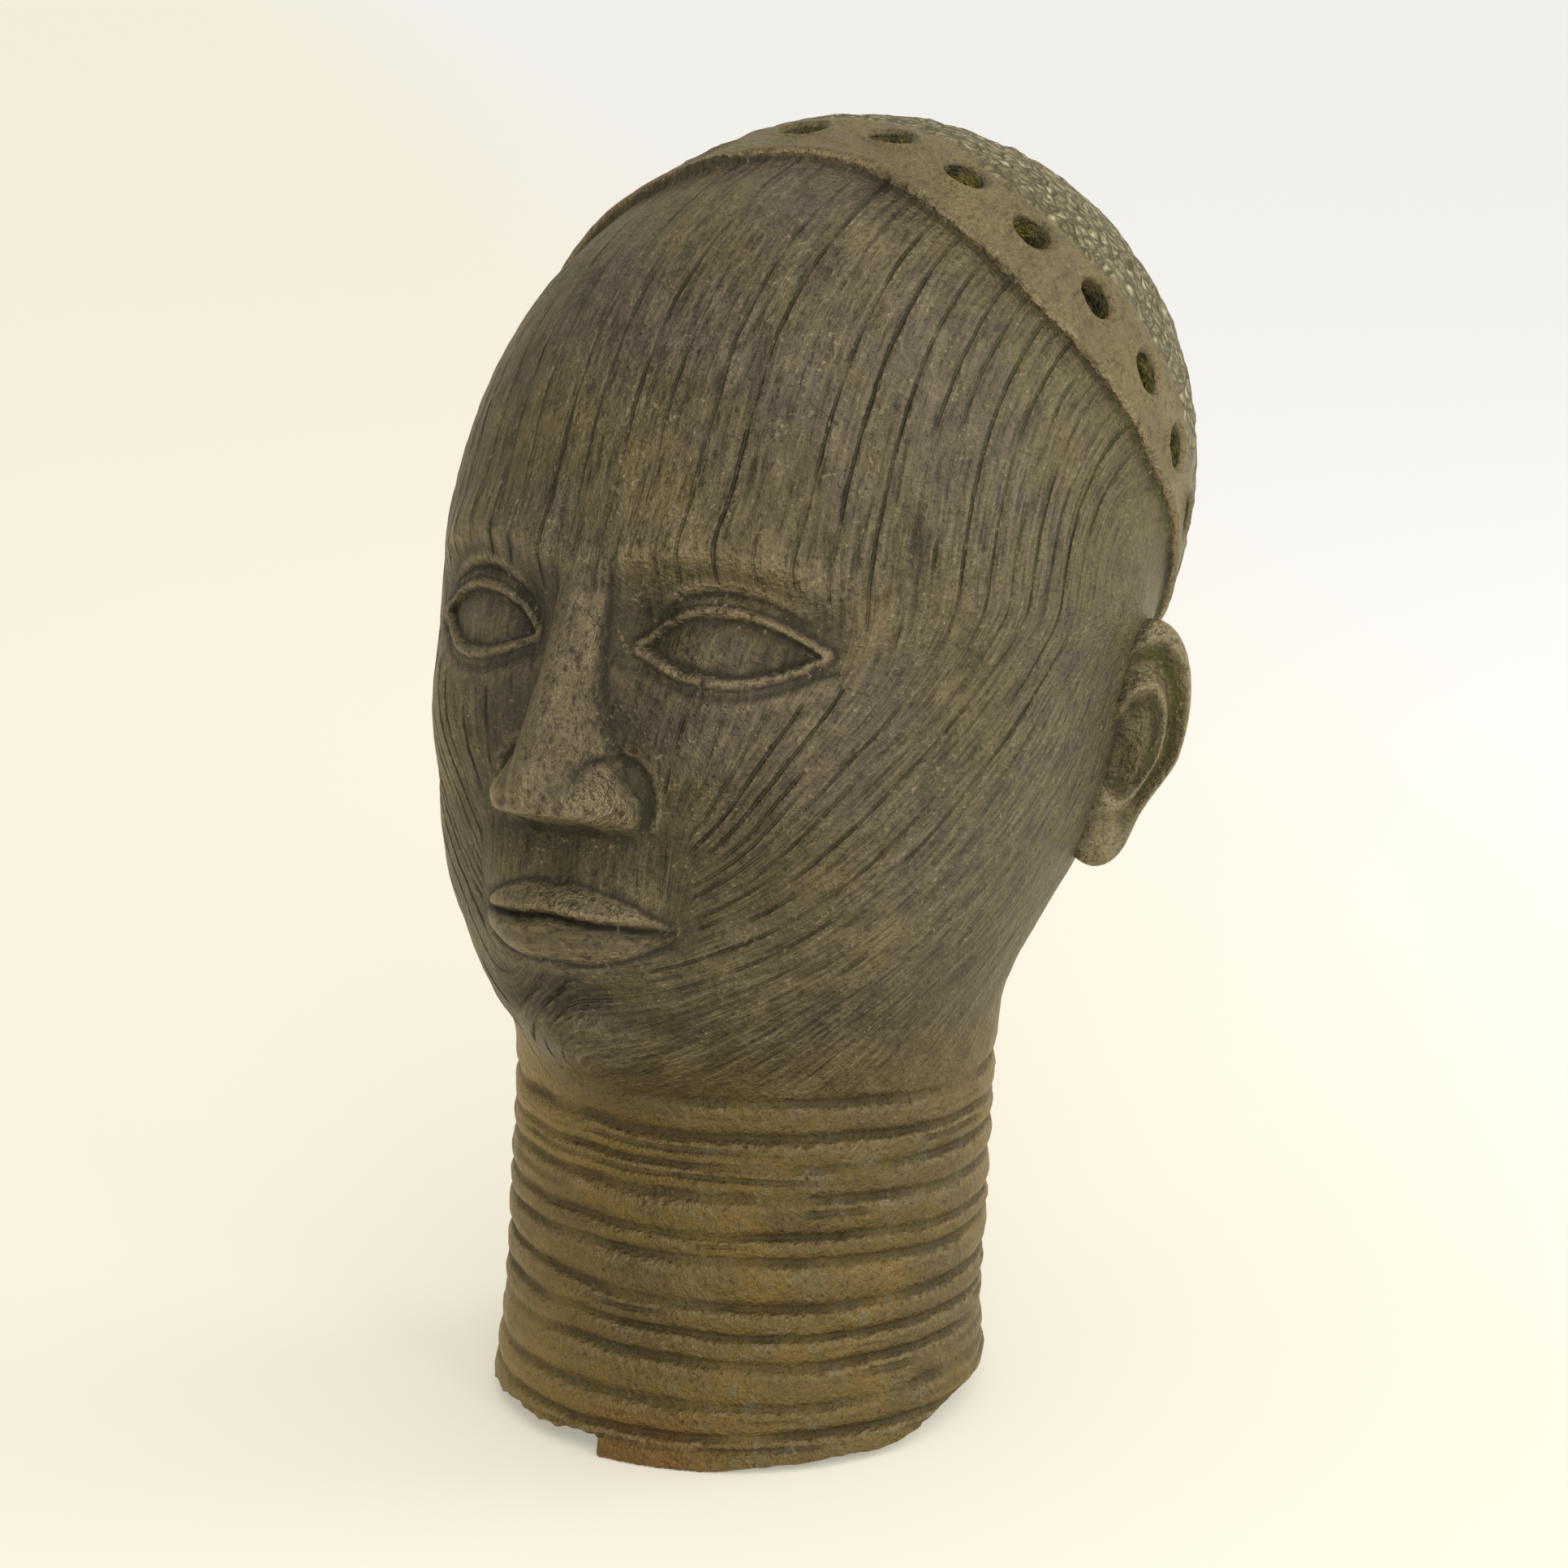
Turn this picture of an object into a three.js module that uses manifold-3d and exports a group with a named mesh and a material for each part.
// A life-size cast bronze head on a ringed neck, with a close cap of hair that has
// a row of small holes behind its front edge. One hollow casting, open underneath.
// Millimetres, +Z up, the face looks towards -Y.
import * as THREE from "three";
import { mergeVertices } from "three/addons/utils/BufferGeometryUtils.js";
import Module from "manifold-3d";

const wasm = await Module();
wasm.setup();

// Driving sizes
const HEIGHT = 300; // rim to crown
const WALL = 4; // thickness of the cast shell
const FACE_WALL = 1.5; // extra metal behind the relief of the face
const NECK_R = 57.2; // outside radius of the neck
const RIM_FLARE = 2.2; // widening of the neck at its foot
const RINGS = 11; // bands round the neck
const RING_DEPTH = 1.9; // depth of the grooves between the bands
const CAP_RISE = 2.8; // step from the forehead up to the cap
const HOLE_D = 10; // holes along the cap's edge
const HOLE_STEP = 13.2; // degrees from hole to hole, seen from the front
const HOLES_EACH_SIDE = 7;
const EAR_HEIGHT = 60;
const EAR_WIDTH = 31;
const EAR_THICK = 7;
const SLIVER = 0.1; // edges shorter than this are closed up after the cuts

// The figure's form is held in shares of its height: one unit is 1/300 of it.
const UNIT = HEIGHT / 300;
const NECK_TOP = 84;
const NECK_LEAN = 0.1; // the neck leans back by this share of its height
const RING_TILT = new THREE.Vector2(-0.025, -0.04); // the bands rise to the front and to one side
const RADIUS = NECK_R / UNIT;
const FACE_AT = new THREE.Vector3(0, -74, 197); // between the eyes
const FACE_TILT = THREE.MathUtils.degToRad(9);
const HEAD_MID = new THREE.Vector3(0, 26, 192);
const POLE_TILT = THREE.MathUtils.degToRad(10);
const BLEND = 22; // how softly the masses run into each other
const HEAD_LEAN = { share: 0.055, from: 125, round: 20 }; // above the neck the head leans to +X
const MASSES = [
  { name: "cranium", at: [0, 43, 212], r: [78.5, 93, 85], tilt: 0 },
  { name: "forehead", at: [0, -2, 222], r: [55, 60, 60], tilt: 0 },
  { name: "face", at: [0, -4, 179], r: [67, 70, 93], tilt: 10 },
  { name: "jaw", at: [0, -4, 134], r: [61, 58, 44], tilt: 0 },
  { name: "chin", at: [0, -46, 116], r: [27, 25, 20], tilt: 0 },
  { name: "nape", at: [0, 36, 152], r: [70, 66, 57], tilt: 0 },
];

const clamp = THREE.MathUtils.clamp;
const mix = THREE.MathUtils.lerp;
const smooth = (a, b, t) => {
  const s = clamp((t - a) / (b - a), 0, 1);
  return s * s * (3 - 2 * s);
};
const bump = (t) => (1 - Math.min(t * t, 1)) ** 2;
const gauss = (t) => Math.exp(-t * t);

// Distance from an ellipsoid, near enough for blending and for a wall
function fromEllipsoid(p, { at, r, tilt }) {
  const a = THREE.MathUtils.degToRad(tilt);
  const x = p.x - at[0];
  const y = (p.y - at[1]) * Math.cos(a) - (p.z - at[2]) * Math.sin(a);
  const z = (p.y - at[1]) * Math.sin(a) + (p.z - at[2]) * Math.cos(a);
  const k0 = Math.hypot(x / r[0], y / r[1], z / r[2]);
  const k1 = Math.hypot(x / r[0] ** 2, y / r[1] ** 2, z / r[2] ** 2);
  return (k0 * (k0 - 1)) / Math.max(k1, 1e-9);
}

const neckRadius = (z) => RADIUS + (RIM_FLARE / UNIT) * smooth(26, 0, z);

// Distance from the plain head and neck, below zero inside
function field(p) {
  let d = Math.hypot(p.x, p.y - NECK_LEAN * p.z) - neckRadius(p.z);
  d = Math.max(d, p.z - 150);
  for (const mass of MASSES) {
    const e = fromEllipsoid(p, mass);
    const h = clamp(0.5 + (0.5 * (e - d)) / BLEND, 0, 1);
    d = mix(e, d, h) - BLEND * h * (1 - h);
  }
  return d;
}

// The point on a ray where the field has the given level
function along(origin, direction, level = 0) {
  let near = 4;
  let far = 190;
  const p = new THREE.Vector3();
  for (let i = 0; i < 26; i++) {
    const mid = (near + far) / 2;
    p.copy(origin).addScaledVector(direction, mid);
    if (field(p) < level) near = mid;
    else far = mid;
  }
  return p.copy(origin).addScaledVector(direction, far);
}

// Rays from the neck's axis and, above HEAD_MID, fanned up to the pole.
// turn is the angle from the front; rise is 0 at the rim, 1 at the neck's top,
// 2 level with HEAD_MID and 3 at the pole.
function ray(turn, rise) {
  const up = clamp(rise, 1, 2) - 1;
  const z = rise < 1 ? rise * NECK_TOP : mix(NECK_TOP, HEAD_MID.z, up);
  const y = rise < 1 ? NECK_LEAN * z : mix(NECK_LEAN * NECK_TOP, HEAD_MID.y, up);
  const fan = (clamp(rise - 2, 0, 1) * Math.PI) / 2;
  const direction = new THREE.Vector3(Math.sin(turn), -Math.cos(turn), 0).multiplyScalar(Math.cos(fan));
  direction.add(new THREE.Vector3(0, Math.sin(POLE_TILT), Math.cos(POLE_TILT)).multiplyScalar(Math.sin(fan)));
  return { origin: new THREE.Vector3(0, y, z), direction: direction.normalize() };
}

// Relief of the face. x runs across it and z up it, from the point between the eyes.
const EYE = { x: 31, half: 16.5, up: 8, down: 6.5, turn: 20 };
const MOUTH = { z: -63, half: 25, upper: 5, lower: 5.8 };
const WING = { x: 10, z: -33, r: [8.5, 8, 9] };

function eye(x, z) {
  const ax = Math.abs(x) - EYE.x;
  return -5.5 * bump(Math.hypot(ax / 27, (z - 2) / 18)) + 3.5 * bump(Math.hypot(ax / 20, z / 14));
}

function nose(x, z) {
  const ax = Math.abs(x);
  const t = clamp((12 - z) / 46, 0, 1);
  const ridge = (2 + 14 * t ** 1.2) * Math.exp(-((ax / (9.5 + 5 * t)) ** 2));
  return (ridge + 5 * t * gauss(ax / 21)) * smooth(-42.5, -35, z) * smooth(22, 8, z);
}

function mouth(x, z) {
  const muzzle = 6 * bump(Math.hypot(x / 38, (z + 62) / 30));
  const fold = -3 * gauss((z + 79.5) / 5) * bump(x / 26);
  return muzzle + fold;
}

function faceRelief(p) {
  const x = p.x;
  const ax = Math.abs(x);
  const z = (p.y - FACE_AT.y) * Math.sin(FACE_TILT) + (p.z - FACE_AT.z) * Math.cos(FACE_TILT);
  const brow = 18 + 4 * Math.sin(clamp((ax - 6) / 44, 0, 1) * Math.PI) - 2 * smooth(35, 55, ax);
  let h = nose(x, z) + mouth(x, z) + eye(x, z);
  h += 2.6 * gauss((z - brow) / 6.5) * smooth(62, 38, ax);
  h += 3.6 * bump(Math.hypot((ax - 43) / 27, (z + 22) / 21));
  h += 5 * bump(Math.hypot(x / 24, (z + 92) / 15));
  return h * smooth(5, -38, p.y);
}

const FORWARD = new THREE.Vector3(0, -Math.cos(FACE_TILT), Math.sin(FACE_TILT));
const UPWARD = new THREE.Vector3(0, Math.sin(FACE_TILT), Math.cos(FACE_TILT));

// The cap's front edge is a curve seen from the side: steep at the crown, then
// sweeping back behind the ears, and a little further forward on the -X side.
const EDGE = { y: 6.4, z: 284, slope: 0.88, round: 28, skew: 5 };

// Where the edge lies, and how much longer it is than its height
function edgeAt(x, z) {
  const drop = EDGE.z - z;
  const root = Math.hypot(drop, EDGE.round);
  const y = EDGE.y + EDGE.skew * Math.tanh(x / 30) + EDGE.slope * (root - EDGE.round);
  return { y, stretch: Math.hypot(1, (EDGE.slope * drop) / root) };
}

function behindEdge(p) {
  const edge = edgeAt(p.x, p.z);
  return (p.y - edge.y) / edge.stretch;
}

// A closed solid with rows from its top pole, down 0, to its lowest ring, down 1,
// and a last row that closes it at one point
function poleSolid(columns, rows, place) {
  const geometry = new THREE.SphereGeometry(1, columns, rows);
  const position = geometry.attributes.position;
  for (let i = 0; i < position.count; i++) {
    const row = Math.floor(i / (columns + 1));
    const column = i % (columns + 1);
    const down = Math.min(row / (rows - 1), 1);
    const p = place((column % columns) / columns, down, row === rows).multiplyScalar(UNIT);
    position.setXYZ(i, p.x, p.y, p.z);
  }
  return solid(geometry);
}

// A closed geometry as a solid, without the triangles that a pole flattens
function solid(geometry) {
  geometry.deleteAttribute("normal");
  geometry.deleteAttribute("uv");
  const merged = mergeVertices(geometry, 1e-3);
  const triangles = [];
  for (let i = 0; i < merged.index.count; i += 3) {
    const [a, b, c] = merged.index.array.slice(i, i + 3);
    if (a !== b && b !== c && c !== a) triangles.push(a, b, c);
  }
  return new wasm.Manifold(
    new wasm.Mesh({
      numProp: 3,
      vertProperties: Float32Array.from(merged.attributes.position.array),
      triVerts: Uint32Array.from(triangles),
    })
  );
}

function reshape(geometry, change) {
  const position = geometry.attributes.position;
  const p = new THREE.Vector3();
  for (let i = 0; i < position.count; i++) {
    change(p.fromBufferAttribute(position, i));
    position.setXYZ(i, p.x, p.y, p.z);
  }
  return geometry;
}

// Columns lie closer together at the front, where the face is
const turnOf = (share) => {
  const s = 2 * share - 1;
  return Math.PI * (0.5 * s + 0.5 * s ** 3);
};

// Sub-part: head, from the neck's top to the crown
function makeHead() {
  const skirt = 0.96;
  return poleSolid(52, 36, (across, down, last) => {
    const crown = 0.34;
    const rise = down < crown ? mix(3, 2, down / crown) : mix(2, skirt, (down - crown) / (1 - crown));
    const { origin, direction } = ray(turnOf(across), rise);
    if (last) return origin;
    const p = along(origin, direction, rise < 1 ? -4 : 0);
    return p.addScaledVector(FORWARD, faceRelief(p));
  });
}

// Sub-part: neck, a stack of rounded bands
function makeNeck() {
  const level = (i) => ((i + 0.22 * Math.sin(2.4 * i) * Math.sin((Math.PI * i) / RINGS)) / RINGS) * NECK_TOP;
  const profile = [new THREE.Vector2(0, 0), new THREE.Vector2(neckRadius(0), 0)];
  for (let i = 0; i < RINGS; i++) {
    const low = level(i);
    const high = level(i + 1);
    for (const share of [0.3, 0.72]) {
      const z = mix(low, high, share);
      profile.push(new THREE.Vector2(neckRadius(z), z));
    }
    profile.push(new THREE.Vector2(neckRadius(high) - RING_DEPTH / UNIT, high));
  }
  profile.push(new THREE.Vector2(0, NECK_TOP));
  const geometry = new THREE.LatheGeometry(profile, 30).rotateX(Math.PI / 2);
  const lean = (p) => {
    const loose = smooth(0, 30, p.z);
    p.z += (RING_TILT.x * p.x + RING_TILT.y * p.y) * loose;
    p.y += NECK_LEAN * p.z;
    p.multiplyScalar(UNIT);
  };
  return solid(reshape(geometry, lean));
}

// Sub-part: cap of hair, a raised skin behind its edge
const CAP_MID = new THREE.Vector3(0, 45, 205);
const CAP_AXIS = THREE.MathUtils.degToRad(52);

function makeCap() {
  const direction = (turn, open) => {
    const side = new THREE.Vector3(Math.sin(turn), -Math.cos(turn), 0).multiplyScalar(Math.sin(open));
    side.z = Math.cos(open);
    return side.applyAxisAngle(new THREE.Vector3(1, 0, 0), -CAP_AXIS);
  };
  const fold = 0.9;
  return poleSolid(30, 10, (across, down, last) => {
    if (last) return CAP_MID.clone();
    const turn = across * 2 * Math.PI;
    let near = 0;
    let far = 2.4;
    for (let i = 0; i < 24; i++) {
      const mid = (near + far) / 2;
      if (behindEdge(along(CAP_MID, direction(turn, mid))) > 0) near = mid;
      else far = mid;
    }
    const level = down === 1 ? -3 : CAP_RISE / UNIT;
    return along(CAP_MID, direction(turn, near * Math.min(down / fold, 1)), level);
  });
}

// Sub-part: ear, a standing plate with a rolled rim and a hollow inside it
const EAR_FOOT = new THREE.Vector3(73, 43, 127);
const EAR_TOP = new THREE.Vector3(78, 62, 184);
const EAR_OUT = THREE.MathUtils.degToRad(38);

function makeEar(side) {
  const h = EAR_HEIGHT / UNIT / 2;
  const w = EAR_WIDTH / UNIT / 2;
  const outline = new THREE.Shape();
  outline.moveTo(-0.35 * w, -h);
  outline.bezierCurveTo(0.75 * w, -1.05 * h, 0.5 * w, -0.5 * h, 0.85 * w, -0.1 * h);
  outline.bezierCurveTo(1.3 * w, 0.45 * h, 0.9 * w, h, 0.1 * w, h);
  outline.bezierCurveTo(-0.9 * w, h, -1.15 * w, 0.5 * h, -1.05 * w, 0);
  outline.bezierCurveTo(-1.0 * w, -0.4 * h, -1.05 * w, -0.95 * h, -0.35 * w, -h);
  const thick = EAR_THICK / UNIT;
  const plate = new THREE.ExtrudeGeometry(outline, {
    depth: thick - 3,
    curveSegments: 3,
    bevelThickness: 1.5,
    bevelSize: 1.5,
    bevelOffset: -1.5,
    bevelSegments: 1,
  });
  const hollow = new THREE.SphereGeometry(1, 10, 6);
  hollow.applyMatrix4(new THREE.Matrix4().makeScale(0.58 * w, 0.6 * h, 0.55 * thick));
  hollow.translate(0.02 * w, 0.16 * h, thick - 1.2);
  const knob = new THREE.SphereGeometry(1, 6, 4);
  knob.applyMatrix4(new THREE.Matrix4().makeScale(0.26 * w, 0.2 * h, 0.5 * thick));
  knob.translate(-0.5 * w, -0.06 * h, thick - 2);
  const up = EAR_TOP.clone().sub(EAR_FOOT).normalize();
  const back = new THREE.Vector3(Math.sin(EAR_OUT), Math.cos(EAR_OUT), 0);
  back.addScaledVector(up, -back.dot(up)).normalize();
  const out = new THREE.Vector3().crossVectors(back, up);
  const middle = EAR_FOOT.clone().add(EAR_TOP).multiplyScalar(0.5);
  const frame = new THREE.Matrix4().makeBasis(back, up, out).setPosition(middle.addScaledVector(out, -thick));
  frame.premultiply(new THREE.Matrix4().makeScale(UNIT, UNIT, UNIT));
  const [a, b, c] = [plate, hollow, knob].map((g) => solid(g.applyMatrix4(frame)));
  const ear = a.subtract(b).add(c);
  return side > 0 ? ear : ear.mirror([1, 0, 0]);
}

// Sub-part: eyes and lids, set on the face
function onFace(x, z, raise) {
  const probe = new THREE.Vector3(x, 0, 0).addScaledVector(UPWARD, z);
  probe.add(new THREE.Vector3(0, FACE_AT.y, FACE_AT.z));
  const p = along(probe.addScaledVector(FORWARD, -40), FORWARD);
  return p.addScaledVector(FORWARD, faceRelief(p) + raise);
}

// An ellipsoid on the face, turned outwards by some degrees
function boss(x, z, raise, r, turn, columns = 12, rows = 5) {
  const ball = new THREE.SphereGeometry(1, columns, rows).scale(...r);
  ball.rotateY(THREE.MathUtils.degToRad(turn));
  const basis = new THREE.Matrix4().makeBasis(new THREE.Vector3(1, 0, 0), UPWARD, FORWARD.clone());
  return ball.applyMatrix4(basis.setPosition(onFace(x, z, raise)));
}

function makeEye(side) {
  const size = [EYE.half * 0.86, EYE.half * 0.5, 6];
  const parts = [boss(side * EYE.x, 0.5, -3.2, size, side * EYE.turn)];
  for (const [reach, half] of [[EYE.up, EYE.half + 1], [-EYE.down, EYE.half - 0.5]]) {
    const points = [];
    for (let i = 0; i <= 6; i++) {
      const t = i / 3 - 1;
      points.push(onFace(side * (EYE.x + t * half), reach * (1 - t * t), 1));
    }
    parts.push(spindle(points, 1.9));
  }
  return parts;
}

// Sub-part: wings of the nose and the closed lips
function makeNoseAndLips() {
  const parts = [1, -1].map((side) => boss(side * WING.x, WING.z, -6, WING.r, 0, 8, 6));
  for (const [radius, lift] of [[MOUTH.upper, MOUTH.upper * 0.75], [MOUTH.lower, -MOUTH.lower * 0.8]]) {
    const points = [];
    for (let i = 0; i <= 6; i++) {
      const t = i / 3 - 1;
      const half = MOUTH.half + (lift > 0 ? 1 : -1);
      points.push(onFace(t * half, MOUTH.z + lift * (1 - t * t), 0.6 - 0.35 * radius));
    }
    parts.push(spindle(points, radius, 8, 6));
  }
  return parts;
}

// A tube that thins to a point at both ends, so that it is closed
function spindle(points, radius, segments = 8, sides = 4) {
  const curve = new THREE.CatmullRomCurve3(points);
  const tube = new THREE.TubeGeometry(curve, segments, radius, sides);
  const position = tube.attributes.position;
  const p = new THREE.Vector3();
  for (let i = 0; i < position.count; i++) {
    const t = Math.floor(i / (sides + 1)) / segments;
    const middle = curve.getPointAt(t);
    p.fromBufferAttribute(position, i).sub(middle).multiplyScalar(Math.sqrt(Math.sin(Math.PI * t)));
    if (t === 0 || t === 1) p.set(0, 0, 0);
    position.setXYZ(i, ...p.add(middle).toArray());
  }
  return tube;
}

// Sub-part: hollow of the casting, which follows the plain form at the wall's depth
function makeCore() {
  const below = -0.15;
  return poleSolid(28, 15, (across, down, last) => {
    const crown = 0.36;
    const rise = down < crown ? mix(3, 2, down / crown) : mix(2, below, (down - crown) / (1 - crown));
    const { origin, direction } = ray(2 * Math.PI * across, rise);
    if (last) return origin;
    const p = along(origin, direction, -WALL / UNIT);
    const face = smooth(5, -38, p.y) * smooth(NECK_TOP, NECK_TOP + 20, p.z);
    return p.addScaledVector(direction, (-FACE_WALL / UNIT) * face);
  });
}

// Sub-part: holes along the cap's edge, each square to the surface.
// The row lies further behind the edge at the crown than by the ears.
function makeHole(step) {
  const angle = THREE.MathUtils.degToRad(-4 + HOLE_STEP * step);
  const at = (r) => {
    const x = r * Math.sin(angle);
    const z = CAP_MID.z + r * Math.cos(angle);
    const edge = edgeAt(x, z);
    return new THREE.Vector3(x, edge.y + mix(10, 18.5, smooth(205, 265, z)) * edge.stretch, z);
  };
  let near = 20;
  let far = 140;
  for (let i = 0; i < 30; i++) {
    const mid = (near + far) / 2;
    if (field(at(mid)) < 0) near = mid;
    else far = mid;
  }
  const p = at(near);
  const slope = (x, y, z) => field(p.clone().add(new THREE.Vector3(x, y, z)));
  const normal = new THREE.Vector3(slope(1, 0, 0), slope(0, 1, 0), slope(0, 0, 1)).subScalar(field(p)).normalize();
  const drill = new THREE.CylinderGeometry(HOLE_D / 2, HOLE_D / 2, 4 * (WALL + CAP_RISE), 8);
  drill.applyQuaternion(new THREE.Quaternion().setFromUnitVectors(new THREE.Vector3(0, 1, 0), normal));
  return solid(drill.translate(...p.multiplyScalar(UNIT).toArray()));
}

// Sub-part: what is broken away from the rim, as heights over a stretch of it.
// Turns are in degrees from the front, positive towards +X.
const leftBreak = (turn) => 4.5 * smooth(-80, -60, turn) + 0.5 * smooth(-20, -8, turn);
const rightBreak = (turn) => (2.4 * smooth(10, 48, turn) + 6.8 * smooth(58, 104, turn)) * smooth(150, 130, turn);
const BREAKS = [
  { from: -82, to: -3, teeth: 6, bite: 0.6, height: leftBreak },
  { from: 6, to: 152, teeth: 8, bite: 0.3, height: rightBreak },
];

function makeBreak({ from, to, teeth, bite, height }) {
  const box = new THREE.BoxGeometry(1, 1, 1, teeth * 2, 1, 1);
  return solid(
    reshape(box, (p) => {
      const share = p.x + 0.5;
      const tooth = Math.round(share * teeth * 2) % 2 ? bite : -bite;
      const degrees = mix(from, to, share);
      const turn = THREE.MathUtils.degToRad(degrees);
      const edge = height(degrees) - 0.4 + tooth * smooth(0, 2, height(degrees));
      const r = p.y < 0 ? RADIUS + 12 : RADIUS - 16;
      const z = p.z > 0 ? edge : -5;
      p.set(r * Math.sin(turn), -r * Math.cos(turn), z).multiplyScalar(UNIT);
    })
  );
}

// The casting is joined, hollowed, drilled and broken, in that order
function makeCasting() {
  let body = makeNeck().add(makeHead()).add(makeCap());
  for (const side of [1, -1]) {
    body = body.add(makeEar(side));
    for (const piece of makeEye(side)) body = body.add(solid(piece.scale(UNIT, UNIT, UNIT)));
  }
  for (const piece of makeNoseAndLips()) body = body.add(solid(piece.scale(UNIT, UNIT, UNIT)));
  body = body.subtract(makeCore());
  for (let step = -HOLES_EACH_SIDE; step <= HOLES_EACH_SIDE + 1; step++) body = body.subtract(makeHole(step));
  for (const stretch of BREAKS) body = body.subtract(makeBreak(stretch));
  return body.simplify(SLIVER);
}

function toGeometry(body) {
  const { vertProperties, triVerts } = body.getMesh();
  const geometry = new THREE.BufferGeometry();
  geometry.setAttribute("position", new THREE.BufferAttribute(vertProperties, 3));
  geometry.setIndex(new THREE.BufferAttribute(triVerts, 1));
  return geometry;
}

function leanHead(p) {
  const above = Math.max(p.z / UNIT - HEAD_LEAN.from, 0);
  p.x += (UNIT * HEAD_LEAN.share * above ** 2) / (above + HEAD_LEAN.round);
}

// The origin is under the middle of the head's own box, at the rim
const geometry = reshape(toGeometry(makeCasting()), leanHead);
geometry.computeBoundingBox();
const middle = geometry.boundingBox.getCenter(new THREE.Vector3());
geometry.translate(-middle.x, -middle.y, -geometry.boundingBox.min.z);
geometry.computeVertexNormals();

const bronze = new THREE.MeshStandardMaterial({ color: 0x675f4c, roughness: 0.55, metalness: 0.8 });
const head = new THREE.Mesh(geometry, bronze);
head.name = "head";

const group = new THREE.Group();
group.add(head);
export default group;
